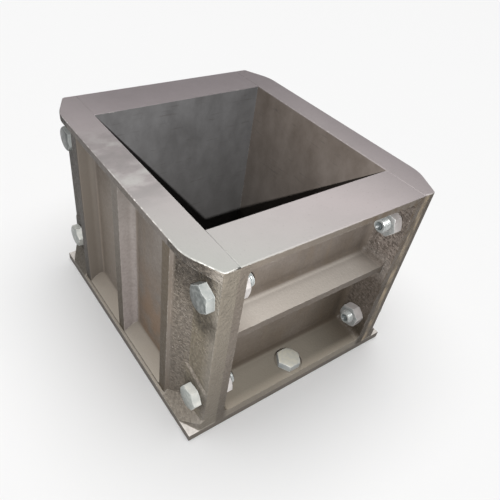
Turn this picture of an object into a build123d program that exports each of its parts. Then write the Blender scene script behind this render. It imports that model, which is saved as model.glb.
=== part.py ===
from build123d import *
import math
import os

# Concrete cube mould: two side plates and two end plates, all ribbed iron castings, bolted into a box
# on a flat base plate. Origin at the centre of the underside, +X to the right along the front wall,
# +Y to the back, +Z up. Millimetres.

# Cavity and plates
cavity = 150.0  # side of the cube that is cast
base_thickness = 6.0
wall = 8.0  # panels of the four wall castings
root_radius = 5.0  # casting fillet in the inner corners of the walls

# Rim, the flange along the top of every wall
side_rim = 22.0  # width from the cavity outwards
end_rim = 35.0
rim_edge = 5.0  # thickness at the outer edge
rim_swell = 3.0  # how much thicker it is at the panel

# Foot, the flange along the bottom of every wall
side_foot_edge = 1.5  # thickness at the outer edge
side_foot_swell = 9.5  # how much thicker it is at the panel
end_foot_edge = 8.0
end_foot_swell = 4.0

# Side plates
ear_pad = 2.5  # how far an ear's seat for a bolt stands out from the panel
ear_length = 38.5
ear_drop = 2.5  # from a rib's face down to the slope of the ear beside it
boss_step = 1.5  # how far the thicker bottom of an ear stands out again
boss_rise = 17.0  # its top above the lower bolt
boss_slope = 0.3  # rise of its top towards the rib
ear_round = 2.5
rib = 9.0
rib_setback = 2.0  # from the rim's outer edge
rim_taper = 23.0  # length of the rim that tapers in to the end of an ear
rim_blend = 30.0
foot_taper = 14.0
foot_blend = 5.0
foot_flare = 3.0  # how far the foot stands out from the end of an ear

# End plates
cheek = 6.0
shelf_rise = 11.5  # top of the shelf above the middle of the bolt rows
shelf_setback = 5.0
shelf_edge = 5.0
shelf_swell = 3.0

# Bolts and nuts, M10
thread = 10.0
hexagon = 6  # sides of a head or a nut
across_flats = 17.0
head_height = 6.4
nut_height = 8.0
corner_bolt_length = 30.0
thread_gap = 0.05  # radial, bolt in a tapped hole or a nut
hole_gap = 0.5  # radial, bolt in a plain hole
bolt_inset = 12.5  # from the end of an ear
upper_bolt_drop = 27.0  # below the rim's top
lower_bolt_rise = 28.0  # above the base plate
base_bolt_inset = 11.5
base_bolt_tip = 0.5  # end of a base bolt above the underside
spot_gap = 1.5  # spot-face around the corners of a base bolt's head
spot_depth = 0.4  # below the thinnest edge of the foot

# Turn of the hexagons about their bolts, in degrees
first_angle = 5.0
step_angle = 33.0  # from one corner bolt to the next
base_angle = 0.0

# Places that follow from the sizes
floor = base_thickness
top = floor + cavity
inner = cavity / 2
panel = inner + wall
side_edge = inner + side_rim
end_edge = inner + end_rim
ear_face = panel + ear_pad
boss_face = ear_face + boss_step
rib_face = side_edge - rib_setback
ear_start = end_edge - ear_length
rib_spacing = ear_start - rib / 2
bolt_y = end_edge - bolt_inset
upper_bolt_z = top - upper_bolt_drop
lower_bolt_z = floor + lower_bolt_rise
shelf_z = (upper_bolt_z + lower_bolt_z) / 2 + shelf_rise
base_bolt_y = end_edge - base_bolt_inset
base_bolt_seat = floor + end_foot_edge - spot_depth
hole_radius = thread / 2 + hole_gap
tapped_radius = thread / 2 + thread_gap
half_side = 180 / hexagon  # degrees from a hexagon's corner to the middle of its side
head_corner = across_flats / 2 / math.cos(math.radians(half_side))
spot_radius = head_corner + spot_gap

bolt_places = [(y, z) for y in (-bolt_y, bolt_y) for z in (lower_bolt_z, upper_bolt_z)]


def pocket(section, width, floor_reach, mouth_reach, floor_ends, mouth_ends, rounding=None):
    """A cast recess to cut from a plate, with flared ends.

    The section is an upright plane across the plate at one side of the recess. Reaches are the floor's
    and the mouth's distances from the mould's middle, and ends are their (low, high) edges. The rounding
    is a fillet round the floor, or one in all the inner corners.
    """
    with BuildPart() as recess:
        with BuildSketch(section):
            with BuildLine():
                Polyline(
                    (floor_reach, floor_ends[0]),
                    (mouth_reach, mouth_ends[0]),
                    (mouth_reach, mouth_ends[1]),
                    (floor_reach, floor_ends[1]),
                    close=True,
                )
            make_face()
        extrude(amount=width)
        faces = recess.faces().sort_by(Axis(section.origin, section.x_dir))
        if rounding == "floor":
            fillet(faces[0].edges(), radius=root_radius)
        elif rounding == "corners":
            fillet(recess.edges() - faces[-1].edges(), radius=root_radius)
    return recess.part


# Recesses of a side plate: a bay between two ribs, and one over an ear that runs out past its end
side_floor_ends = (floor + side_foot_edge + side_foot_swell, top - rim_edge - rim_swell)
side_mouth_ends = (floor + side_foot_edge, top - rim_edge)
bay_side = Plane.XZ.offset(rib / 2 - rib_spacing)
bay = pocket(bay_side, rib_spacing - rib, panel, side_edge, side_floor_ends, side_mouth_ends, "floor")
ear_side = Plane.XZ.offset(-end_edge - ear_length)
ear_pocket = pocket(ear_side, 2 * ear_length, ear_face, side_edge, side_floor_ends, side_mouth_ends)

# The recess over an ear slopes from the bolts' seat up to the rib
with BuildPart() as ear_recess:
    add(ear_pocket)
    with BuildSketch(Plane.XY):
        with BuildLine():
            Polyline(
                (ear_face, end_edge + ear_length),
                (ear_face, bolt_y - spot_radius),
                (rib_face - ear_drop, ear_start),
                (side_edge, ear_start),
                (side_edge, end_edge + ear_length),
                close=True,
            )
        make_face()
    extrude(amount=top, mode=Mode.INTERSECT)
    slope_foot = ear_recess.edges().filter_by(Axis.Z).group_by(Axis.X)[0].sort_by(Axis.Y)[0]
    fillet(slope_foot, radius=root_radius)


def side_outline(end_reach, taper, blend):
    """Outline of a side plate from above, which tapers from its outer edge in to the ends of its ears."""
    with BuildSketch() as outline:
        with BuildLine():
            Polyline(
                (inner, -end_edge),
                (end_reach, -end_edge),
                (side_edge, taper - end_edge),
                (side_edge, end_edge - taper),
                (end_reach, end_edge),
                (inner, end_edge),
                close=True,
            )
        make_face()
        fillet(outline.vertices().group_by(Axis.X)[2], radius=blend)
        fillet(outline.vertices().group_by(Axis.X)[1], radius=ear_round)
    return outline.sketch


rim_outline = side_outline(ear_face, rim_taper, rim_blend)
foot_outline = side_outline(ear_face + foot_flare, foot_taper, foot_blend)

# Thicker bottom of an ear, under the lower bolt
boss_top = lower_bolt_z + boss_rise
with BuildPart() as boss:
    with BuildSketch(Plane.YZ.offset(inner)):
        with BuildLine():
            Polyline(
                (ear_start, floor),
                (end_edge, floor),
                (end_edge, boss_top - boss_slope * bolt_inset),
                (ear_start, boss_top + boss_slope * (ear_length - bolt_inset)),
                close=True,
            )
        make_face()
    extrude(amount=boss_face - inner)
    ledge = boss.faces().sort_by(Axis.X)[-1].edges().sort_by(Axis.Z)[-1]
    chamfer(ledge, length=boss_step)
    with BuildSketch(Plane.XY):
        add(rim_outline)
    extrude(amount=top, mode=Mode.INTERSECT)

# Recesses of an end plate, above and below its shelf
cheek_face = inner - cheek
channel_side = Plane.YZ.offset(-cheek_face)
upper_floor_ends = (shelf_z, top - rim_edge - rim_swell)
upper_mouth_ends = (shelf_z, top - rim_edge)
lower_floor_ends = (floor + end_foot_edge + end_foot_swell, shelf_z - shelf_edge - shelf_swell)
lower_mouth_ends = (floor + end_foot_edge, shelf_z - shelf_edge)
upper_channel = pocket(
    channel_side, 2 * cheek_face, panel, end_edge, upper_floor_ends, upper_mouth_ends, "corners"
)
lower_channel = pocket(
    channel_side, 2 * cheek_face, panel, end_edge, lower_floor_ends, lower_mouth_ends, "corners"
)


# Side plates
with BuildPart() as right_plate:
    # Block with the outline of the foot at the bottom and of the rim above
    with BuildSketch(Plane.XY.offset(floor)):
        add(foot_outline)
    extrude(amount=side_floor_ends[0] - floor)
    with BuildSketch(Plane.XY.offset(side_floor_ends[0])):
        add(rim_outline)
    extrude(amount=top - side_floor_ends[0])

    # Recesses, which leave the panel, the ears and three ribs
    add([bay, ear_recess.part], mode=Mode.SUBTRACT)
    mirror([bay, ear_recess.part], about=Plane.XZ, mode=Mode.SUBTRACT)

    # Ribs set back from the rim
    with BuildSketch(Plane.YZ.offset(side_edge)):
        with Locations((0, sum(side_mouth_ends) / 2)):
            Rectangle(2 * rib_spacing + rib, side_mouth_ends[1] - side_mouth_ends[0])
    extrude(amount=-rib_setback, mode=Mode.SUBTRACT)

    # Thicker bottoms of the ears
    add(boss.part)
    mirror(boss.part, about=Plane.XZ)

    # Bolt holes through the ears
    with BuildSketch(Plane.YZ.offset(inner)):
        with Locations(*bolt_places):
            Circle(hole_radius)
    extrude(amount=wall + ear_pad + boss_step, mode=Mode.SUBTRACT)

with BuildPart() as left_plate:
    mirror(right_plate.part, about=Plane.YZ)


# End plates
with BuildPart() as back_plate:
    with BuildSketch(Plane.XY.offset(floor)):
        with Locations((0, inner)):
            Rectangle(cavity, end_rim, align=(Align.CENTER, Align.MIN))
    extrude(amount=cavity)

    # Recesses, which leave the panel, the shelf and two cheeks that bolt to the side plates' ears
    add([upper_channel, lower_channel], mode=Mode.SUBTRACT)

    # Shelf set back from the rim
    with BuildSketch(Plane.XZ.offset(-end_edge)):
        with Locations((0, shelf_z)):
            Rectangle(2 * cheek_face, 2 * (shelf_edge + shelf_swell + root_radius))
    extrude(amount=shelf_setback, mode=Mode.SUBTRACT)

    # Bolt holes through both cheeks
    with BuildSketch(Plane.YZ):
        with Locations((bolt_y, lower_bolt_z), (bolt_y, upper_bolt_z)):
            Circle(hole_radius)
    extrude(amount=inner, both=True, mode=Mode.SUBTRACT)

    # Spot-face and hole for the base bolt
    with BuildSketch(Plane.XY.offset(base_bolt_seat)):
        with Locations((0, base_bolt_y)):
            Circle(spot_radius)
    extrude(amount=end_foot_swell + root_radius, mode=Mode.SUBTRACT)
    with BuildSketch(Plane.XY.offset(floor)):
        with Locations((0, base_bolt_y)):
            Circle(hole_radius)
    extrude(amount=end_foot_edge, mode=Mode.SUBTRACT)

with BuildPart() as front_plate:
    mirror(back_plate.part, about=Plane.XZ)


# Base plate with tapped holes for the base bolts
with BuildPart() as base_plate:
    Box(2 * side_edge, 2 * end_edge, base_thickness, align=(Align.CENTER, Align.CENTER, Align.MIN))
    with GridLocations(0, 2 * base_bolt_y, 1, 2):
        Hole(tapped_radius)


def hex_bolt(seat, length, turn):
    """A hexagon bolt with its head on the seat and its shank through it, against the seat's normal."""
    with BuildPart() as bolt:
        with BuildSketch(seat):
            RegularPolygon(across_flats / 2, hexagon, False, rotation=turn)
        extrude(amount=head_height)
        with BuildSketch(seat):
            Circle(thread / 2)
        extrude(amount=-length)
    return bolt


def hex_nut(seat, turn):
    """A hexagon nut on the seat."""
    with BuildPart() as nut:
        with BuildSketch(seat):
            RegularPolygon(across_flats / 2, hexagon, False, rotation=turn)
            Circle(tapped_radius, mode=Mode.SUBTRACT)
        extrude(amount=nut_height)
    return nut


# Pieces by name, starting with the plates
pieces = {
    "base_plate": base_plate,
    "front_plate": front_plate,
    "back_plate": back_plate,
    "left_plate": left_plate,
    "right_plate": right_plate,
}

# Corner bolts and nuts, two pairs at each corner
bolt_levels = (("lower", lower_bolt_z, boss_face), ("upper", upper_bolt_z, ear_face))
turn = first_angle
for side, x_sign in (("left", -1), ("right", 1)):
    for end, y_sign in (("front", -1), ("back", 1)):
        for level, bolt_z, seat_x in bolt_levels:
            corner = f"{side}_{end}_{level}"
            ear_seat = Plane((x_sign * seat_x, y_sign * bolt_y, bolt_z), (0, 1, 0), (x_sign, 0, 0))
            nut_place = (x_sign * cheek_face, y_sign * bolt_y, bolt_z)
            cheek_seat = Plane(nut_place, (0, 1, 0), (-x_sign, 0, 0))
            pieces["corner_bolt_" + corner] = hex_bolt(ear_seat, corner_bolt_length, turn)
            pieces["corner_nut_" + corner] = hex_nut(cheek_seat, turn)
            turn += step_angle

# Base bolts, one through each end plate's foot
for end, y_sign in (("front", -1), ("back", 1)):
    foot_seat = Plane((0, y_sign * base_bolt_y, base_bolt_seat))
    pieces["base_bolt_" + end] = hex_bolt(foot_seat, base_bolt_seat - base_bolt_tip, base_angle)

# One file for each piece
os.makedirs("parts", exist_ok=True)
for name, piece in pieces.items():
    piece.part.label = name
    export_step(piece.part, f"parts/{name}.step")
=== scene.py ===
import math

import bmesh
import bpy
from mathutils import Matrix, Vector


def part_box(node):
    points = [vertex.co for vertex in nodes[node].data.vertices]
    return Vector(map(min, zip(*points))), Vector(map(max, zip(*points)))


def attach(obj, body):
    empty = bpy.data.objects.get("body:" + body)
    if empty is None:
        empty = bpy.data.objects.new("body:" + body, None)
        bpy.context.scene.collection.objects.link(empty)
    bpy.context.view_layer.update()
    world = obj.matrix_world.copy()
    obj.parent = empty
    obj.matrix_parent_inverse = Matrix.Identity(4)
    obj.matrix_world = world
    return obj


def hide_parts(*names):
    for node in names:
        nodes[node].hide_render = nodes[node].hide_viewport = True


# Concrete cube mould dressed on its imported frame: worn iron castings, machined rims and bright zinc bolts.
# Metres, in the frame's axes: +X right along the front wall, +Y to the back, +Z up.
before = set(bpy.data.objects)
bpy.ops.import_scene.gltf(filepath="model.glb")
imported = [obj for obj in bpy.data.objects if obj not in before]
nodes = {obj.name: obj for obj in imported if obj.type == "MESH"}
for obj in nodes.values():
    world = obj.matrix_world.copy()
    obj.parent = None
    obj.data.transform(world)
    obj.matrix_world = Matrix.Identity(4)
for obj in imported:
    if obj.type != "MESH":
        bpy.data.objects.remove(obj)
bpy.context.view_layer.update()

# Sizes read from the frame
floor_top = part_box("base_plate")[1].z
rim_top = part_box("left_plate")[1].z
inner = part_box("right_plate")[0].x
side_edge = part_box("right_plate")[1].x
end_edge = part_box("back_plate")[1].y

# Places on the castings where their finishes change, at or close by the edges of their forms
planed_from = rim_top - 0.0007  # planed finish of the rim
rounded_from = rim_top - 0.0012  # rounded edge of the rim
nicks_from = rim_top - 0.0030  # nicks below the rim
bright_z = (rim_top - 0.004, rim_top - 0.001)  # worn metal, from dull to bright
rim_under = rim_top - 0.0055  # below the side plates' rim at its outer edge
walls_to = inner + 0.0008  # machined finish of the cavity's walls
joint_strip = inner + 0.004  # strip along the joint on the ears' ends
side_panel = inner + 0.0082  # past the outer faces of the side plates' panels
end_panel = inner + 0.009  # past the outer faces of the end plates' panels
cheeks_from = inner - 0.010  # before the inner faces of the end plates' cheeks
ribs_from = side_edge - 0.004  # before the outer faces of the side plates' ribs
ear_start = end_edge - 0.0385  # side of the rib next to each ear
flanks_to = ear_start - 0.001  # before that rib's side
corner_rub = end_edge - 0.011  # rubbed edge of the ears' outer faces
ears_end = end_edge - 0.0006  # before the end faces of the ears and cheeks
shelves_to = end_edge - 0.003  # past the noses of the end plates' shelves
foot_front = end_edge - 0.007  # pale front of the end plates' feet
foot_top = floor_top + 0.013  # above the end plates' feet
foot_edge = floor_top + 0.0015  # top of the side plates' feet at their outer edge
shelf_height = floor_top + 0.083  # middle of the end plates' shelves

# Stretches of the cast skin along an axis, from where a change starts to where it is complete
near_bays_y = (0.0, -0.02)
back_bays_y = (0.0, 0.02)
back_flanks_y = (0.030, 0.045)
back_ribs_y = (0.035, 0.055)
back_ears_y = (0.050, 0.065)
middle_ribs_y = (0.020, 0.012)  # by distance from the middle
right_half_x = (0.0, 0.03)
darker_right_x = (0.022, 0.058)
foot_left_x = (-0.04, 0.0)
dusty_x = (0.010, 0.030)  # by distance from the joint
by_joint_x = (0.002, 0.001)  # by distance from the joint
by_shelf_z = (0.014, 0.004)  # by distance from the shelf

# Stretches of the rim
left_rim_x = (-0.070, -0.076)
smears_front_y = (-0.045, -0.015)
smears_back_y = (0.060, 0.035)
smear_reach = 0.05  # how far smears carry the oil
dry_rim_xy = (-0.19, -0.07)  # by the sum of X and Y
back_rim_y = (-0.06, 0.095)
back_left_x = (-0.090, -0.050)
right_rim_x = (0.045, 0.095)
nicked_y = (-0.06, -0.02)

# Oil stains on the ears by the corner bolts: middle across the ear and up it, and reach
stain_core = 0.4  # share of a stain's reach that is darkest
stain_spots = []
for level, aside, rise, reach in (
    ("lower", 0.0, 0.002, 0.018),
    ("upper", 0.0, -0.010, 0.026),
    ("upper", -0.002, -0.022, 0.014),
):
    low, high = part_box("corner_bolt_right_back_" + level)
    stain_spots.append(((low.y + high.y) / 2 + aside, (low.z + high.z) / 2 + rise, reach))

# Fasteners, M10
thread = 0.010
pitch = 0.0015
thread_depth = 0.0009
thread_flat = 0.15  # flat share of a thread's crests and of its roots
across_flats = 0.017
head_height = 0.0064
nut_height = 0.008
crown_angle = math.radians(30)
crown_circle = 0.94 * across_flats / 2  # radius of the flat inside a crown
face_circle = 0.2 * crown_circle  # ring that closes a head's face
corner_share = 0.985  # rounded corners of a hexagon over its sharp ones
washer_radius = 0.95 * across_flats / 2  # bearing face under a head
washer_height = 0.0003
tip_radius = 0.0044
cup_radius = 0.0031
cup_depth = 0.0020
cup_steps = (0.15, 0.6, 1.0)  # rings of the centre hole at a bolt's tip, over its radius
bore_gap = 0.00005
bore_chamfer = 0.0006
around = 48  # points in a ring, a multiple of a hexagon's sides
rows_per_turn = 6  # rings in each turn of a thread

# Rounded edges of the plates
edge_round = 0.0009
machined_share = 0.35  # rounding of the machined edges by the cavity and the joints over that of the others
long_edge = 0.050  # ribs and shelves have edges longer than this
round_above = floor_top + 0.0145  # the feet keep their edges
base_round = 0.0004
edge_steps = 3
edge_angle = math.radians(32)
flat_angle = math.radians(0.5)  # faces that turn less than this are one face
same_place = 0.0004  # edges this close to a place are at it
same_point = 1e-6

# Patterns of noise
patterns = {
    "grain": dict(size=0.0020, detail=4.0, roughness=0.65),
    "lumps": dict(size=0.0021, detail=4.0, roughness=0.65, stretch=(1.0, 1.3, 0.9), seed=9.0),
    "mottle": dict(size=0.018, detail=6.0, roughness=0.65, stretch=(1.0, 1.0, 1.6), seed=7.0),
    "blotches": dict(size=0.030, detail=5.0, roughness=0.6),
    "streaks": dict(size=0.008, detail=4.0, roughness=0.6, stretch=(1.0, 1.0, 6.0), seed=3.0),
    "rust": dict(size=0.020, detail=4.0, roughness=0.6, seed=12.0),
    "painted_glints": dict(size=0.0012, detail=2.0, roughness=0.5, seed=14.0),
    "rubbed": dict(size=0.012, detail=4.0, roughness=0.65, seed=4.0),
    "flakes": dict(size=0.005, detail=4.0, roughness=0.6, stretch=(1.0, 1.0, 2.5), seed=15.0),
    "scratches": dict(size=0.004, detail=3.0, roughness=0.5, stretch=(5.0, 5.0, 0.6), seed=6.0),
    "smears": dict(size=0.020, detail=4.0, roughness=0.6, stretch=(1.3, 0.9, 1.0), seed=11.0),
    "specks": dict(size=0.0015, detail=3.0, roughness=0.6, seed=5.0),
    "chips": dict(size=0.004, detail=5.0, roughness=0.7, seed=2.0),
    "nicks": dict(size=0.0045, detail=3.0, roughness=0.6, seed=16.0),
    "base_grain": dict(size=0.002, detail=4.0, roughness=0.6),
    "zinc_bloom": dict(size=0.005, detail=4.0, roughness=0.6),
    "zinc_grain": dict(size=0.0009, detail=3.0, roughness=0.6),
    "zinc_smudges": dict(size=0.003, detail=3.0, roughness=0.6, seed=8.0),
    "oil_specks": dict(size=0.0008, detail=3.0, roughness=0.6),
}

# Tones in linear light, and the shares in which some of them show
casting_tones = {
    "grain": (0.085, 0.072, 0.060),
    "streaks": (0.130, 0.100, 0.072),
    # painted shade on the panels under the rim
    "under_rim": (0.070, 0.060, 0.052),
    "rust": (0.150, 0.096, 0.058),
    "back_bay": (0.190, 0.160, 0.132),
    "seat_dark": (0.076, 0.062, 0.042),
    "seat_light": (0.166, 0.144, 0.105),
    "painted_glints": (0.330, 0.300, 0.270),
    "by_corner": (0.150, 0.136, 0.118),
    "stains": (0.034, 0.028, 0.020),
    "shelf_highlight": (0.240, 0.215, 0.192),
    "by_foot": (0.030, 0.024, 0.017),
    "shade_below_rim": (0.022, 0.018, 0.014),
    "back_ears": (0.026, 0.022, 0.018),
    "flank_low": (0.200, 0.174, 0.166),
    "flank_high": (0.140, 0.128, 0.119),
    "flank_grain": (0.105, 0.090, 0.083),
    "flank_top_shade": (0.060, 0.053, 0.048),
    "flank_back_shade": (0.087, 0.075, 0.063),
    "shelf_nose": (0.062, 0.050, 0.040),
    "crease_shade": (0.040, 0.031, 0.023),
    "fillet_shade": (0.045, 0.035, 0.027),
    "darker_low_right": (0.026, 0.019, 0.012),
    "foot_front": (0.205, 0.180, 0.146),
    "front_rib_shade": (0.042, 0.030, 0.016),
    "back_rib_shade": (0.018, 0.014, 0.010),
    "middle_rib_shade": (0.080, 0.068, 0.056),
    "rim_side_shade": (0.036, 0.031, 0.027),
    # painted shade for the inside corners
    "corners": (0.036, 0.029, 0.023),
    "scratches": (0.055, 0.050, 0.047),
    "wall_low": (0.060, 0.056, 0.052),
    "rim_oily_shade": (0.163, 0.164, 0.154),
    "rim_dry": (0.276, 0.248, 0.246),
    "rim_back_shade": (0.155, 0.136, 0.141),
    "rim_left": (0.172, 0.158, 0.155),
    "smudges": (0.112, 0.107, 0.103),
    "film": (0.285, 0.285, 0.270),
    "specks": (0.125, 0.115, 0.110),
    "wear": (0.50, 0.485, 0.46),
    "nicks": (0.85, 0.83, 0.80),
}
end_tones = {
    **casting_tones,
    "skin_dark": (0.098, 0.079, 0.063),
    "skin_light": (0.136, 0.117, 0.102),
    "skin_low": (0.057, 0.043, 0.027),
    "rough_dark": (0.044, 0.035, 0.029),
    "rough_light": (0.164, 0.137, 0.119),
    "foot": (0.090, 0.080, 0.063),
    "shelf": (0.420, 0.385, 0.350),
    "ends": (0.086, 0.072, 0.058),
    "ends_outer": (0.056, 0.035, 0.016),
    "wall_dark": (0.082, 0.080, 0.080),
    "wall_light": (0.118, 0.116, 0.117),
    "rim_shade_share": 0.0,
    "below_rim_share": 0.4,
    "rust_share": 0.0,
    "back_bay_share": 0.0,
    "crease_share": 1.0,
    "fillet_share": 0.4,
    "low_right_share": 0.55,
    "corner_share": 0.6,
    "dusty_up": (0.65, 0.95),  # how far faces look up, from bare to dusty
}
side_tones = {
    **casting_tones,
    "skin_dark": (0.108, 0.089, 0.072),
    "skin_light": (0.152, 0.136, 0.123),
    "skin_low": (0.115, 0.098, 0.080),
    "rough_dark": (0.053, 0.044, 0.035),
    "rough_light": (0.132, 0.113, 0.092),
    "foot": (0.246, 0.223, 0.190),
    "shelf": (0.232, 0.211, 0.181),
    "ends": (0.118, 0.103, 0.082),
    "ends_outer": (0.112, 0.097, 0.078),
    "wall_dark": (0.096, 0.079, 0.067),
    "wall_light": (0.138, 0.117, 0.103),
    "rim_shade_share": 0.5,
    "below_rim_share": 1.0,
    "rust_share": 0.7,
    "back_bay_share": 0.6,
    "crease_share": 0.0,
    "fillet_share": 0.0,
    "low_right_share": 0.0,
    "corner_share": 0.3,
    "dusty_up": (0.3, 0.8),
}
right_tones = {**side_tones, "ends": (0.265, 0.208, 0.140), "ends_outer": (0.060, 0.047, 0.034)}
base_tones = {
    "shaded_edge_dark": (0.052, 0.042, 0.032),
    "shaded_edge_light": (0.098, 0.082, 0.066),
    "face_dark": (0.350, 0.325, 0.300),
    "face_light": (0.440, 0.415, 0.390),
    "grain": (0.12, 0.105, 0.09),
    "wear": (0.34, 0.33, 0.31),
}
zinc_tones = {
    "thread_dark": (0.170, 0.182, 0.182),
    "thread_light": (0.270, 0.280, 0.274),
    # painted highlights on the edges
    "edges": (0.66, 0.67, 0.65),
}
oil_tones = {"dark": (0.030, 0.036, 0.037), "light": (0.095, 0.105, 0.105)}


class Nodes:
    """A node tree, with short calls that add its nodes."""

    def __init__(self, tree):
        self.tree = tree

    def add(self, kind, inputs=None, **settings):
        node = self.tree.nodes.new(kind)
        for name, value in settings.items():
            setattr(node, name, value)
        for key, value in (inputs or {}).items():
            self.put(node.inputs[key], value)
        return node

    def put(self, socket, value):
        if isinstance(value, bpy.types.NodeSocket):
            self.tree.links.new(value, socket)
        else:
            socket.default_value = value

    def operate(self, operation, *values):
        return self.add("ShaderNodeMath", dict(enumerate(values)), operation=operation).outputs[0]

    def sum(self, a, b):
        return self.operate("ADD", a, b)

    def product(self, first, *others):
        for other in others:
            first = self.operate("MULTIPLY", first, other)
        return first

    def larger(self, a, b):
        return self.operate("MAXIMUM", a, b)

    def smaller(self, a, b):
        return self.operate("MINIMUM", a, b)

    def over(self, a, b):
        """1 where a is more than b, otherwise 0."""
        return self.operate("GREATER_THAN", a, b)

    def size_of(self, value):
        return self.operate("ABSOLUTE", value)

    def apart(self, a, b):
        return self.size_of(self.operate("SUBTRACT", a, b))

    def opposite(self, share):
        return self.operate("SUBTRACT", 1.0, share)

    def mix(self, share, a, b):
        return self.add("ShaderNodeMix", {0: share, 2: a, 3: b}).outputs[0]

    def ramp(self, value, start, end, low=0.0, high=1.0):
        """Low where the value is at or before start, high at or after end, and even in between."""
        inputs = {"Value": value, "From Min": start, "From Max": end, "To Min": low, "To Max": high}
        return self.add("ShaderNodeMapRange", inputs).outputs["Result"]

    def past(self, value, place, blur):
        """0 up to the place, and 1 from the blur past it."""
        return self.ramp(value, place, place + blur)

    def before(self, value, place, blur):
        """1 up to the blur before the place, and 0 from the place on."""
        return self.ramp(value, place, place - blur)

    def parts_of(self, vector):
        return self.add("ShaderNodeSeparateXYZ", {0: vector}).outputs


class Paint(Nodes):
    """A new node material, with short calls that add its patterns, masks and tones."""

    def __init__(self, name, tones=None):
        self.material = bpy.data.materials.new(name)
        self.material.use_nodes = True
        super().__init__(self.material.node_tree)
        self.shader = self.tree.nodes["Principled BSDF"]
        self.tones = tones
        coordinates = self.add("ShaderNodeTexCoord").outputs
        self.place = coordinates["Object"]
        self.facing = self.parts_of(coordinates["Normal"])

    def set(self, **sockets):
        for name, value in sockets.items():
            self.put(self.shader.inputs[name.replace("_", " ")], value)

    def noise(self, size, detail, roughness, stretch=(1.0, 1.0, 1.0), seed=0.0):
        """Noise with features of about that size, longer along an axis by its stretch."""
        place = self.add("ShaderNodeMapping", {"Vector": self.place, "Location": (seed, seed, seed)})
        place.inputs["Scale"].default_value = [1.0 / (size * s) for s in stretch]
        inputs = {"Vector": place.outputs["Vector"], "Scale": 1.0, "Detail": detail, "Roughness": roughness}
        return self.add("ShaderNodeTexNoise", inputs).outputs["Fac"]

    def pattern(self, name, *steps):
        """A named pattern, ramped by the steps."""
        return self.ramp(self.noise(**patterns[name]), *steps)

    def blend(self, share, a, b):
        """From colour a at share 0 to colour b at share 1. A colour is a socket or the name of a tone."""
        colours = [(*self.tones[c], 1.0) if isinstance(c, str) else c for c in (a, b)]
        node = self.add("ShaderNodeMix", {0: share, 6: colours[0], 7: colours[1]}, data_type="RGBA")
        return node.outputs[2]

    def edges(self, radius, flat=0.93, turned=0.78):
        """1 where the surface turns within the radius, 0 on the flat, by the cosine of the turn."""
        rounded = self.add("ShaderNodeBevel", {"Radius": radius}, samples=6).outputs["Normal"]
        plain = self.add("ShaderNodeNewGeometry").outputs["Normal"]
        turn = self.add("ShaderNodeVectorMath", {0: rounded, 1: plain}, operation="DOT_PRODUCT")
        return self.ramp(turn.outputs["Value"], flat, turned)

    def corners(self, most, reach, clear=0.85, closed=0.4):
        """Painted shade, most in the inside corners of the piece itself and 0 away from them by the reach."""
        shade = self.add("ShaderNodeAmbientOcclusion", {"Distance": reach}, samples=8, only_local=True)
        return self.ramp(shade.outputs["AO"], clear, closed, 0.0, most)

    def bump(self, height, distance):
        inputs = {"Height": height, "Distance": distance}
        self.set(Normal=self.add("ShaderNodeBump", inputs).outputs["Normal"])


class CastingPaint(Paint):
    """Paint that knows where the finishes lie on a casting, and holds the patterns that they share."""

    def __init__(self, name, tones):
        super().__init__(name, tones)
        self.x, self.y, self.z = self.parts_of(self.place)
        self.reach_x = self.size_of(self.x)
        self.reach_y = self.size_of(self.y)
        self.height = self.ramp(self.z, floor_top, rim_top)
        self.side_on = self.size_of(self.facing["X"])
        self.end_on = self.size_of(self.facing["Y"])
        self.up = self.facing["Z"]

        # Machined walls and rim
        self.rim = self.past(self.z, planed_from, blur=0.0004)
        self.near_y = self.before(self.reach_y, walls_to, blur=0.0004)
        self.wall = self.product(self.before(self.reach_x, walls_to, blur=0.0004), self.near_y)
        self.machined = self.larger(self.wall, self.rim)

        # Side plates with their ears, and the end plates' cheeks between those
        self.on_side = self.past(self.reach_x, inner, blur=0.001)
        self.ears = self.product(self.on_side, self.past(self.reach_y, ear_start, blur=0.002))
        self.ends = self.past(self.reach_y, ears_end, blur=0.0004)
        self.off_side_panel = self.past(self.reach_x, side_panel, blur=0.0006)
        self.off_end_panel = self.past(self.reach_y, end_panel, blur=0.003)
        self.posts = self.product(self.past(self.reach_x, cheeks_from, blur=0.004), self.off_end_panel)
        self.cheeks = self.product(self.posts, self.opposite(self.on_side))
        self.coarse = self.larger(self.posts, self.ears)

        # Patterns
        self.grain = self.noise(**patterns["grain"])
        self.lumps = self.pattern("lumps", 0.35, 0.65)
        self.mottle = self.pattern("mottle", 0.32, 0.68)

    def stained(self):
        """1 in the middle of an ear's stains, 0 beyond their reach."""
        across = self.add("ShaderNodeCombineXYZ", {0: self.reach_y, 1: self.z}).outputs[0]
        share = 0.0
        for spot_y, spot_z, reach in stain_spots:
            ends = {0: across, 1: (spot_y, spot_z, 0.0)}
            distance = self.add("ShaderNodeVectorMath", ends, operation="DISTANCE").outputs["Value"]
            share = self.larger(self.ramp(distance, reach, stain_core * reach), share)
        return share


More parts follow.
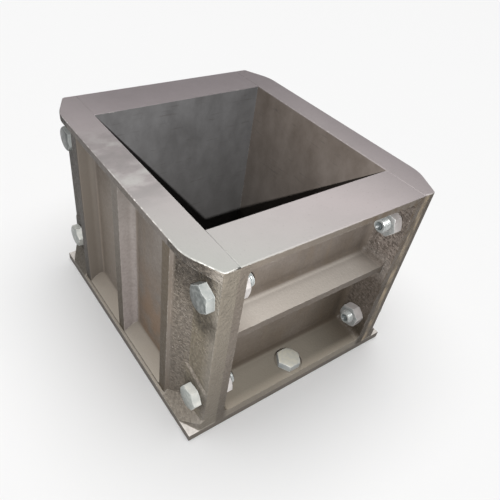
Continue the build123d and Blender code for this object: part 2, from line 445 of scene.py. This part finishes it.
def panel_skin(paint):
    """Cast skin of the panels: blotched and streaked, with rust in the near bays of the side plates."""
    tones = paint.tones
    skin = paint.blend(paint.pattern("blotches", 0.3, 0.7), "skin_dark", "skin_light")
    skin = paint.blend(paint.ramp(paint.grain, 0.4, 0.7, 0.0, 0.35), skin, "grain")
    skin = paint.blend(paint.pattern("streaks", 0.5, 0.75, 0.0, 0.45), skin, "streaks")
    # Painted shade on the panels under the rim's overhang
    skin = paint.blend(paint.ramp(paint.height, 0.65, 0.95, 0.0, tones["rim_shade_share"]), skin, "under_rim")
    skin = paint.blend(paint.ramp(paint.height, 0.0, 0.7, 0.45, 0.0), skin, "skin_low")
    rust = paint.product(
        paint.pattern("rust", 0.35, 0.55),
        paint.ramp(paint.height, 0.60, 0.30),
        paint.opposite(paint.off_side_panel),
        paint.ramp(paint.y, *near_bays_y),
        tones["rust_share"],
    )
    skin = paint.blend(rust, skin, "rust")
    back_bay = paint.ramp(paint.y, *back_bays_y, 0.0, tones["back_bay_share"])
    return paint.blend(paint.product(paint.ramp(paint.height, 0.85, 0.55), back_bay), skin, "back_bay")


def rough_skin(paint, skin):
    """The skin with coarse cheeks and ears, which are stained round the bolts, with painted glints, and with
    painted shade under the rim.
    """
    on_seat = paint.product(paint.ears, paint.ramp(paint.side_on, 0.93, 0.985))
    slopes = paint.blend(paint.lumps, "rough_dark", "rough_light")
    seats = paint.blend(paint.lumps, "seat_dark", "seat_light")
    skin = paint.blend(paint.product(paint.coarse, 0.85), skin, paint.blend(on_seat, slopes, seats))
    # Painted glints: bright specks on the coarse cheeks and ears
    painted_glints = paint.pattern("painted_glints", 0.64, 0.70, 0.0, 0.45)
    skin = paint.blend(paint.product(painted_glints, paint.coarse), skin, "painted_glints")

    # Ears, rubbed by the corner and stained by the bolts
    patchy = paint.ramp(paint.lumps, 0.2, 0.8, 1.0, 0.70)
    outer_ears = paint.product(paint.ears, paint.opposite(paint.ends))
    by_corner = paint.product(outer_ears, paint.past(paint.reach_y, corner_rub, blur=0.008))
    skin = paint.blend(paint.product(by_corner, 0.6), skin, "by_corner")
    clear = paint.product(by_corner, paint.ramp(paint.height, 0.70, 0.76))
    stains = paint.product(paint.stained(), patchy, outer_ears, paint.opposite(clear))
    skin = paint.blend(stains, skin, "stains")

    # Cheeks, with a painted highlight by the shelf where light falls on its fillet, and dark by the foot
    shelf_highlight = paint.ramp(paint.apart(paint.z, shelf_height), *by_shelf_z, 0.0, 0.45)
    skin = paint.blend(paint.product(shelf_highlight, paint.cheeks), skin, "shelf_highlight")
    by_foot = paint.ramp(paint.height, 0.28, 0.12, 0.0, 0.9)
    skin = paint.blend(paint.product(by_foot, paint.cheeks), skin, "by_foot")

    # Painted shade on the ears and cheeks under the rim's overhang
    shade_below_rim = paint.ramp(paint.height, 0.70, 0.85, 0.0, paint.tones["below_rim_share"])
    shade_below_rim = paint.product(shade_below_rim, paint.coarse, paint.opposite(by_corner), patchy)
    skin = paint.blend(shade_below_rim, skin, "shade_below_rim")
    back_ears = paint.product(outer_ears, paint.ramp(paint.y, *back_ears_y, 0.0, 0.8))
    return paint.blend(back_ears, skin, "back_ears")


def flank_skin(paint, skin):
    """The skin with the ribs' flanks painted pale as lit faces, with painted shade under the rim and towards
    the back.
    """
    # Painted light on the flanks, palest low down
    pale = paint.blend(paint.height, "flank_low", "flank_high")
    pale = paint.blend(paint.ramp(paint.grain, 0.42, 0.66, 0.0, 0.5), pale, "flank_grain")
    pale = paint.blend(paint.ramp(paint.height, 0.72, 0.92, 0.0, 0.4), pale, "flank_top_shade")
    pale = paint.blend(paint.ramp(paint.y, *back_flanks_y), pale, "flank_back_shade")
    flanks = paint.product(
        paint.off_side_panel,
        paint.ramp(paint.end_on, 0.35, 0.6),
        paint.before(paint.reach_y, flanks_to, blur=0.001),
        0.85,
    )
    return paint.blend(flanks, skin, pale)


def end_skin(paint, skin):
    """The skin with the rubbed ends of the side plates, flaked on the right, and the shelves' noses."""
    rubbed = paint.pattern("rubbed", 0.35, 0.6, 0.6, 0.9)
    flakes = paint.pattern("flakes", 0.38, 0.58, 0.0, 0.85)
    flakes = paint.larger(flakes, paint.past(paint.reach_x, joint_strip, blur=0.002))
    flakes = paint.product(flakes, paint.ramp(paint.x, *right_half_x))
    skin = paint.blend(paint.product(paint.ends, rubbed), skin, paint.blend(flakes, "ends", "ends_outer"))
    nose = paint.product(
        paint.off_end_panel,
        paint.before(paint.reach_y, shelves_to, blur=0.001),
        paint.ramp(paint.end_on, 0.8, 0.95),
        paint.opposite(paint.on_side),
        0.6,
    )
    return paint.blend(nose, skin, "shelf_nose")


def ledge_skin(paint, skin):
    """The skin with dust on the ledges and feet, painted shade in the creases and fillets where they meet the
    panels, and darker low down towards the right.
    """
    tones = paint.tones
    dusty = paint.product(
        paint.ramp(paint.up, *tones["dusty_up"]),
        paint.mix(paint.coarse, 0.85, 0.32),
        paint.ramp(paint.apart(paint.reach_x, inner), *dusty_x, 0.45, 1.0),
    )
    skin = paint.blend(dusty, skin, paint.blend(paint.height, "foot", "shelf"))
    # Painted shade in the creases where the ledges meet the panels
    crease_shade = paint.product(
        paint.ramp(paint.up, 0.05, 0.4),
        paint.ramp(paint.up, 0.97, 0.75),
        paint.ramp(paint.height, 0.35, 0.2, 0.3, 0.8),
        tones["crease_share"],
    )
    skin = paint.blend(crease_shade, skin, "crease_shade")
    # Painted shade on the upright fillets between the panels and the cheeks
    fillet_shade = paint.product(paint.ramp(paint.side_on, 0.12, 0.35), paint.ramp(paint.side_on, 0.93, 0.80))
    skin = paint.blend(paint.product(fillet_shade, tones["fillet_share"]), skin, "fillet_shade")
    # Darker low down towards the right
    right = paint.ramp(paint.x, *darker_right_x, 0.0, tones["low_right_share"])
    skin = paint.blend(paint.product(paint.ramp(paint.height, 0.60, 0.45), right), skin, "darker_low_right")
    front = paint.product(
        paint.past(paint.reach_y, foot_front, blur=0.006),
        paint.before(paint.z, foot_top, blur=0.003),
        paint.opposite(paint.on_side),
        paint.opposite(paint.posts),
        paint.ramp(paint.x, *foot_left_x, 0.5, 0.7),
    )
    skin = paint.blend(front, skin, "foot_front")
    foot_sides = paint.product(paint.on_side, paint.before(paint.z, foot_edge, blur=0.0004), 0.6)
    return paint.blend(foot_sides, skin, "foot")


def rib_skin(paint, skin):
    """The skin with painted shade on the ribs' outer faces and on the sides of the rim."""
    # Painted shade on the ribs' outer faces
    outer = paint.past(paint.reach_x, ribs_from, blur=0.0012)
    under_rim = paint.before(paint.z, rim_under, blur=0.001)
    faces = paint.product(
        outer,
        under_rim,
        paint.ramp(paint.side_on, 0.75, 0.92),
        paint.past(paint.z, foot_edge, blur=0.001),
        0.85,
    )
    ribs = paint.blend(paint.ramp(paint.y, *back_ribs_y), "front_rib_shade", "back_rib_shade")
    middle = paint.product(paint.ramp(paint.reach_y, *middle_ribs_y), paint.ramp(paint.height, 0.25, 0.7))
    skin = paint.blend(faces, skin, paint.blend(middle, ribs, "middle_rib_shade"))
    # Painted shade on the rim's outer sides
    return paint.blend(paint.product(outer, paint.opposite(under_rim), 0.45), skin, "rim_side_shade")


def cast_skin(paint):
    """Colour of the sand-cast skin, from the panels to what lies on them."""
    skin = panel_skin(paint)
    for layer in (rough_skin, flank_skin, end_skin, ledge_skin, rib_skin):
        skin = layer(paint, skin)
    # Painted shade in the inside corners, found by ambient occlusion
    return paint.blend(paint.corners(paint.tones["corner_share"], reach=0.016), skin, "corners")


def cavity_wall(paint):
    """Colour of the machined walls around the concrete, mottled and darker lower down."""
    wall = paint.blend(paint.mottle, "wall_dark", "wall_light")
    wall = paint.blend(paint.pattern("scratches", 0.63, 0.72, 0.0, 0.35), wall, "scratches")
    return paint.blend(paint.ramp(paint.height, 0.2, 0.9, 0.52, 0.0), wall, "wall_low")


def machined_rim(paint):
    """Colour of the planed rim: oily by the near left corner, where its darker tone is also painted shade
    against the key light's bright spot, dry away from it, and with painted shade towards the back and the
    right.
    """
    x = paint.x
    y = paint.y
    left_side = paint.product(
        paint.ramp(x, *left_rim_x), paint.ramp(y, *smears_front_y), paint.ramp(y, *smears_back_y)
    )
    smears = paint.noise(**patterns["smears"])
    spread = paint.product(paint.ramp(smears, 0.3, 0.7, -smear_reach, smear_reach), left_side)
    # Oil smears, and painted shade that tempers the key light by the near left corner
    dry = paint.ramp(paint.sum(paint.sum(x, y), spread), *dry_rim_xy)
    rim = paint.blend(dry, "rim_oily_shade", "rim_dry")
    # Painted shade, mauve, towards the back and the right
    back = paint.product(paint.ramp(y, *back_rim_y, 0.0, 0.80), paint.ramp(x, *back_left_x, 0.65, 1.0))
    right = paint.ramp(x, *right_rim_x, 0.0, 0.5)
    rim = paint.blend(paint.larger(back, right), rim, "rim_back_shade")
    smudges = paint.product(paint.ramp(smears, 0.52, 0.38), paint.mix(left_side, 0.05, 0.55))
    rim = paint.blend(smudges, rim, "smudges")
    rim = paint.blend(paint.product(left_side, 0.6), rim, "rim_left")
    film = paint.product(paint.ramp(smears, 0.50, 0.64, 0.0, 0.6), left_side)
    rim = paint.blend(film, rim, "film")
    return paint.blend(paint.pattern("specks", 0.62, 0.72, 0.0, 0.4), rim, "specks")


def worn_edges(paint, colour):
    """The colour with bare metal along the edges, broken by chips and brightest round the rim."""
    rounded = paint.product(
        paint.ramp(paint.up, 0.45, 0.60),
        paint.ramp(paint.up, 0.92, 0.82),
        paint.past(paint.z, rounded_from, blur=0.0002),
        paint.on_side,
        0.6,
    )
    beside_joint = paint.ramp(paint.apart(paint.reach_x, inner), *by_joint_x)
    joint = paint.product(beside_joint, paint.opposite(paint.near_y))
    worn = paint.product(paint.larger(paint.edges(radius=0.0011), rounded), paint.opposite(joint))
    chips = paint.sum(paint.noise(**patterns["chips"]), paint.product(paint.ears, 0.03))
    bright = paint.ramp(paint.z, *bright_z, 0.3, 0.9)
    colour = paint.blend(paint.product(worn, paint.ramp(chips, 0.49, 0.59), bright), colour, "wear")
    nicks = paint.product(
        worn,
        paint.pattern("nicks", 0.615, 0.655),
        paint.past(paint.z, nicks_from, blur=0.0015),
        paint.larger(paint.on_side, paint.ramp(paint.y, *nicked_y)),
    )
    return paint.blend(nicks, colour, "nicks")


def casting(name, tones):
    """Sand-cast grey iron with a machined rim and machined walls to the cavity."""
    paint = CastingPaint(name, tones)
    colour = paint.blend(paint.wall, cast_skin(paint), cavity_wall(paint))
    colour = paint.blend(paint.rim, colour, machined_rim(paint))
    oily = paint.ramp(paint.grain, 0.3, 0.7, 0.36, 0.58)
    planed = paint.mix(paint.mottle, 0.45, 0.6)
    paint.set(Base_Color=worn_edges(paint, colour), Roughness=paint.mix(paint.machined, oily, planed))
    paint.set(Specular_IOR_Level=0.2)
    lumps = paint.product(paint.lumps, paint.mix(paint.coarse, 0.03, 0.5), paint.mix(paint.ends, 1.0, 0.5))
    relief = paint.sum(paint.product(paint.grain, 0.25), lumps)
    paint.bump(paint.product(relief, paint.mix(paint.machined, 1.0, 0.05)), distance=0.0011)
    return paint.material


def plain_plate(name):
    """Planed iron plate with a pale dusty top, and painted shade on its edges."""
    paint = Paint(name, base_tones)
    blotches = paint.pattern("blotches", 0.3, 0.7)
    grain = paint.noise(**patterns["base_grain"])
    edge = paint.blend(blotches, "shaded_edge_dark", "shaded_edge_light")
    face = paint.blend(blotches, "face_dark", "face_light")
    # Painted shade on the sides, which stay dark while the top is pale
    colour = paint.blend(paint.ramp(paint.facing["Z"], 0.5, 0.9), edge, face)
    colour = paint.blend(paint.ramp(grain, 0.45, 0.7, 0.0, 0.35), colour, "grain")
    wear = paint.product(paint.edges(radius=0.0010), paint.ramp(grain, 0.45, 0.6), 0.4)
    colour = paint.blend(wear, colour, "wear")
    paint.set(Base_Color=colour, Roughness=paint.mix(blotches, 0.48, 0.65))
    paint.bump(grain, distance=0.0003)
    return paint.material


def zinc(name, dark, light, face):
    """Bright zinc plate on steel, with a painted reflection on the faces across the axis, painted highlights
    on its edges, and oil on the thread.
    """
    paint = Paint(name, {**zinc_tones, "dark": dark, "light": light, "face": face})
    bloom = paint.pattern("zinc_bloom", 0.35, 0.7)
    grain = paint.noise(**patterns["zinc_grain"])
    colour = paint.blend(bloom, "dark", "light")
    below_seat = paint.before(paint.parts_of(paint.place)["Z"], 0.0, blur=0.0002)
    threaded = paint.blend(bloom, "thread_dark", "thread_light")
    colour = paint.blend(paint.product(below_seat, 0.85), colour, threaded)
    smudges = paint.pattern("zinc_smudges", 0.4, 0.65, 1.0, 0.6)
    # Painted reflection on the faces across the axis: darker than the sides on the corner bolts and nuts,
    # paler on the base bolts
    colour = paint.blend(paint.product(paint.ramp(paint.facing["Z"], 0.8, 0.95), smudges), colour, "face")
    # Painted highlights along the edges
    colour = paint.blend(paint.product(paint.edges(radius=0.0008), 0.7), colour, "edges")
    paint.set(Base_Color=colour, Roughness=paint.ramp(grain, 0.3, 0.7, 0.30, 0.44), Metallic=0.4)
    paint.bump(grain, distance=0.00008)
    return paint.material


def oil(name):
    """Black oil in the centre hole at a bolt's tip."""
    paint = Paint(name, oil_tones)
    specks = paint.pattern("oil_specks", 0.4, 0.7)
    paint.set(Base_Color=paint.blend(specks, "dark", "light"), Roughness=paint.mix(specks, 0.3, 0.5))
    paint.bump(specks, distance=0.00005)
    return paint.material


def edge_weights():
    """Geometry nodes that weigh the edges to round on the rim, the ribs and the shelves."""
    group = bpy.data.node_groups.new("edge_weights", "GeometryNodeTree")
    for way in ("INPUT", "OUTPUT"):
        group.interface.new_socket("Geometry", in_out=way, socket_type="NodeSocketGeometry")
    tree = Nodes(group)
    ends = tree.add("GeometryNodeInputMeshEdgeVertices").outputs
    first = tree.parts_of(ends["Position 1"])
    second = tree.parts_of(ends["Position 2"])
    angle = tree.add("GeometryNodeInputMeshEdgeAngle").outputs["Signed Angle"]
    lowest = tree.smaller(first["Z"], second["Z"])
    nearest = tree.smaller(tree.size_of(first["X"]), tree.size_of(second["X"]))

    # Edges round the rim, which are sharper where they are machined
    machined = 0.0
    for axis in "XY":
        off_wall = [tree.apart(tree.size_of(end[axis]), inner) for end in (first, second)]
        machined = tree.larger(tree.over(same_place, tree.larger(*off_wall)), machined)
    rim = tree.product(tree.over(lowest, rim_top - same_place), tree.mix(machined, 1.0, machined_share))

    # Upright edges of the ribs between the ears, and edges of the shelves along X
    ribs = tree.product(
        tree.over(tree.apart(first["Z"], second["Z"]), long_edge),
        tree.over(nearest, inner + same_place),
        tree.over(ear_start - same_place, tree.size_of(first["Y"])),
    )
    shelves = tree.product(
        tree.over(tree.apart(first["X"], second["X"]), long_edge),
        tree.over(lowest, round_above),
    )
    weight = tree.product(tree.larger(rim, tree.larger(ribs, shelves)), tree.over(angle, edge_angle))
    stored = tree.add("GeometryNodeStoreNamedAttribute", data_type="FLOAT", domain="EDGE")
    tree.put(stored.inputs["Geometry"], tree.add("NodeGroupInput").outputs[0])
    tree.put(stored.inputs["Name"], "bevel_weight_edge")
    tree.put(stored.inputs["Value"], weight)

    # Smooth shading, with the other edges left sharp
    smooth = tree.add("GeometryNodeSetShadeSmooth", {"Geometry": stored.outputs["Geometry"]}, domain="FACE")
    sharp = tree.over(tree.size_of(angle), edge_angle)
    inputs = {"Geometry": smooth.outputs["Geometry"], "Selection": sharp, "Shade Smooth": False}
    creased = tree.add("GeometryNodeSetShadeSmooth", inputs, domain="EDGE")
    tree.put(tree.add("NodeGroupOutput").inputs[0], creased.outputs["Geometry"])
    return group


def ring(mesh, radius, height):
    """A ring of points about Z. Radius and height are numbers, or functions of the angle."""
    points = []
    for step in range(around):
        angle = 2 * math.pi * step / around
        r = radius(angle) if callable(radius) else radius
        z = height(angle) if callable(height) else height
        points.append(mesh.verts.new((r * math.cos(angle), r * math.sin(angle), z)))
    return points


def skin_rings(mesh, rings):
    """Faces between each ring and the next."""
    for low, high in zip(rings, rings[1:]):
        for step in range(around):
            after = (step + 1) % around
            mesh.faces.new((low[step], low[after], high[after], high[step]))


def hexagon(angle):
    """Distance from the axis to a hexagon's side, with a corner on X and slightly rounded corners."""
    side = math.pi / 3
    from_middle = angle % side - side / 2
    sharp = across_flats / 2 / math.cos(side / 2)
    return min(across_flats / 2 / math.cos(from_middle), corner_share * sharp)


def crown(height, way):
    """Height at which a hexagon's sides meet the crown's cone, below a top face or above a bottom one."""
    return lambda angle: height - way * (hexagon(angle) - crown_circle) * math.tan(crown_angle)


def thread_rings(mesh, start, end):
    """Rings of an outside thread that runs up from start to end, with a chamfer at its start."""
    rings = []
    count = round((end - start) / pitch * rows_per_turn)
    for row in range(count + 1):
        height = start + (end - start) * row / count
        limit = tip_radius + height - start

        def radius(angle, height=height, limit=limit):
            phase = (height / pitch - angle / (2 * math.pi)) % 1.0
            crest = abs(2 * phase - 1) * (1 + 2 * thread_flat) - thread_flat
            return min(thread / 2 - thread_depth * (1 - min(max(crest, 0.0), 1.0)), limit)

        rings.append(ring(mesh, radius, height))
    return rings


def bolt_mesh(name, ends):
    """A hexagon bolt along Z with its head on the XY plane, and the place of that plane between its ends."""
    mesh = bmesh.new()
    seat = ends[1] - head_height
    tip = ends[0] - seat
    rings = [ring(mesh, cup_radius * share, tip + cup_depth * (1 - share**2)) for share in cup_steps]
    rings += thread_rings(mesh, tip, -washer_height)
    rings += [
        ring(mesh, thread / 2, 0.0),
        ring(mesh, washer_radius, 0.0),
        ring(mesh, washer_radius, washer_height),
        ring(mesh, hexagon, washer_height),
        ring(mesh, hexagon, crown(head_height, 1)),
        ring(mesh, crown_circle, head_height),
        ring(mesh, face_circle, head_height),
    ]
    skin_rings(mesh, rings)

    # The centre hole's rings and its bottom have the second material
    mesh.faces.new(list(reversed(rings[0])))
    mesh.faces.ensure_lookup_table()
    for face in [*mesh.faces[: (len(cup_steps) - 1) * around], mesh.faces[-1]]:
        face.material_index = 1
    mesh.faces.new(rings[-1])
    return finished(mesh, name), seat


def nut_mesh(name, ends):
    """A hexagon nut along Z that stands on the XY plane, and the place of that plane between its ends."""
    mesh = bmesh.new()
    bore = thread / 2 + bore_gap
    rings = [
        ring(mesh, bore, bore_chamfer),
        ring(mesh, bore + bore_chamfer, 0.0),
        ring(mesh, crown_circle, 0.0),
        ring(mesh, hexagon, crown(0.0, -1)),
        ring(mesh, hexagon, crown(nut_height, 1)),
        ring(mesh, crown_circle, nut_height),
        ring(mesh, bore + bore_chamfer, nut_height),
        ring(mesh, bore, nut_height - bore_chamfer),
    ]
    skin_rings(mesh, [*rings, rings[0]])
    return finished(mesh, name), ends[0]


def finished(mesh, name):
    """A smooth-shaded mesh with its sharp edges kept."""
    bmesh.ops.recalc_face_normals(mesh, faces=mesh.faces)
    data = bpy.data.meshes.new(name)
    mesh.to_mesh(data)
    mesh.free()
    data.shade_smooth()
    data.set_sharp_from_angle(angle=edge_angle)
    return data


def fastener(node, axis, make, *materials):
    """Puts a detailed fastener in a node's place, with its Z along the axis and its corners on the node's."""
    low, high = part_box(node)
    middle = (low + high) / 2
    sides = [v.co - middle for v in nodes[node].data.vertices]
    sides = [s - axis * s.dot(axis) for s in sides]
    corner = max(sides, key=lambda s: s.length).normalized()
    data, seat = make(node, sorted((low.dot(axis), high.dot(axis))))
    turned = Matrix((corner, axis.cross(corner), axis)).transposed().to_4x4()
    piece = bpy.data.objects.new(node + "_detail", data)
    piece.matrix_world = Matrix.Translation(middle + axis * (seat - middle.dot(axis))) @ turned
    bpy.context.scene.collection.objects.link(piece)
    for material in materials:
        piece.data.materials.append(material)
    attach(piece, node)
    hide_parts(node)


# Materials
# The last tone of each zinc is the painted reflection on the faces across its axis
corner_zinc = {
    "upper": zinc("upper_zinc", (0.200, 0.214, 0.210), (0.285, 0.292, 0.280), (0.060, 0.066, 0.063)),
    "lower": zinc("lower_zinc", (0.385, 0.395, 0.372), (0.520, 0.515, 0.480), (0.225, 0.240, 0.226)),
}
nut_zinc = zinc("nut_zinc", (0.345, 0.325, 0.316), (0.460, 0.432, 0.420), (0.175, 0.185, 0.182))
base_zinc = zinc("base_zinc", (0.290, 0.310, 0.312), (0.390, 0.400, 0.393), (0.460, 0.445, 0.380))
cup_oil = oil("cup_oil")
plate_irons = {
    "front_plate": casting("front_iron", end_tones),
    "back_plate": casting("back_iron", end_tones),
    "left_plate": casting("left_iron", side_tones),
    "right_plate": casting("right_iron", right_tones),
    "base_plate": plain_plate("base_iron"),
}

# Castings and base plate keep their solids, with rounded edges
casting_edges = edge_weights()
for name, iron in plate_irons.items():
    plate = nodes[name]
    plate.data.materials.clear()
    plate.data.materials.append(iron)
    joined = plate.modifiers.new("joined", "WELD")
    joined.merge_threshold = same_point
    if name == "base_plate":
        rounding = plate.modifiers.new("rounding", "BEVEL")
        rounding.width = base_round
        rounding.limit_method = "ANGLE"
        rounding.angle_limit = edge_angle
    else:
        flat = plate.modifiers.new("flat_faces", "DECIMATE")
        flat.decimate_type = "DISSOLVE"
        flat.angle_limit = flat_angle
        plate.modifiers.new("weights", "NODES").node_group = casting_edges
        rounding = plate.modifiers.new("rounding", "BEVEL")
        rounding.width = edge_round
        rounding.limit_method = "WEIGHT"
        rounding.use_clamp_overlap = False
        even = plate.modifiers.new("even_shading", "WEIGHTED_NORMAL")
        even.keep_sharp = True
        even.weight = 100
    rounding.segments = edge_steps

# Bolts and nuts
for name in nodes:
    outward = Vector((-1, 0, 0)) if "_left_" in name else Vector((1, 0, 0))
    if name.startswith("base_bolt"):
        fastener(name, Vector((0, 0, 1)), bolt_mesh, base_zinc, cup_oil)
    elif name.startswith("corner_bolt"):
        level = name.rsplit("_", 1)[1]
        fastener(name, outward, bolt_mesh, corner_zinc[level], cup_oil)
    elif name.startswith("corner_nut"):
        fastener(name, -outward, nut_mesh, nut_zinc)

# Floor
floor_size = 40.0
floor_drop = 0.0002
bpy.ops.mesh.primitive_plane_add(size=floor_size, location=(0, 0, -floor_drop))
floor = bpy.context.object
floor.name = "floor"
floor_paint = Paint("floor_white")
floor_paint.set(Base_Color=(0.86, 0.86, 0.86, 1.0), Roughness=0.9)
floor.data.materials.append(floor_paint.material)

# Soft light on the floor, which throws light up onto the sides of the mould
sky = bpy.data.objects.new("floor_light", bpy.data.lights.new("floor_light", "SUN"))
sky.data.energy = 3.1
sky.data.angle = math.radians(70)
bpy.context.scene.collection.objects.link(sky)
only_floor = bpy.data.collections.new("lit_by_floor_light")
only_floor.objects.link(floor)
sky.light_linking.receiver_collection = only_floor

# Key light close to the camera
key_place = Vector((-0.2055, -0.258, 0.3125))
light_aim = Vector((0.0, 0.0, 0.09))
key = bpy.data.objects.new("key_light", bpy.data.lights.new("key_light", "AREA"))
key.data.shape = "DISK"
key.data.size = 0.004
key.data.energy = 2.75
key.location = key_place
key.rotation_euler = (light_aim - key_place).to_track_quat("-Z", "Y").to_euler()
bpy.context.scene.collection.objects.link(key)
not_floor = bpy.data.collections.new("not_lit_by_key_light")
not_floor.objects.link(floor)
not_floor.collection_objects[0].light_linking.link_state = "EXCLUDE"
key.light_linking.receiver_collection = not_floor

# Soft lights for the rim and for the sides that face away from the camera: place and energy
soft_size = 0.9
soft_lights = {
    "rim_light": ((0.75, 1.0, 0.75), 15.0),
    "back_light": ((-0.15, 1.3, 0.35), 20.0),
    "right_light": ((1.3, -0.1, 0.35), 20.0),
}
for name, (place, energy) in soft_lights.items():
    soft = bpy.data.objects.new(name, bpy.data.lights.new(name, "AREA"))
    soft.data.size = soft_size
    soft.data.energy = energy
    soft.location = place
    soft.rotation_euler = (light_aim - soft.location).to_track_quat("-Z", "Y").to_euler()
    soft.visible_glossy = False
    soft.light_linking.receiver_collection = not_floor
    bpy.context.scene.collection.objects.link(soft)

# White surroundings that light the mould only dimly
surround_light = 0.12
surround_seen = 0.95
world = bpy.data.worlds.new("studio")
world.use_nodes = True
bpy.context.scene.world = world
sky_nodes = Nodes(world.node_tree)
background = world.node_tree.nodes["Background"]
seen = sky_nodes.add("ShaderNodeLightPath").outputs["Is Camera Ray"]
sky_nodes.put(background.inputs["Color"], (1.0, 1.0, 1.0, 1.0))
sky_nodes.put(background.inputs["Strength"], sky_nodes.ramp(seen, 0.0, 1.0, surround_light, surround_seen))

# Camera at the photograph's place
camera_turn = (47.618, -6.220, -34.493)  # degrees
camera = bpy.data.objects.new("camera", bpy.data.cameras.new("camera"))
camera.location = (-0.20165, -0.25157, 0.32450)
camera.rotation_euler = [math.radians(angle) for angle in camera_turn]
camera.data.sensor_width = 36.0
camera.data.lens = 35.67
camera.data.shift_x = 0.04
camera.data.shift_y = 0.04
camera.data.clip_start = 0.01
bpy.context.scene.collection.objects.link(camera)
bpy.context.scene.camera = camera
bpy.context.scene.view_settings.view_transform = "Standard"
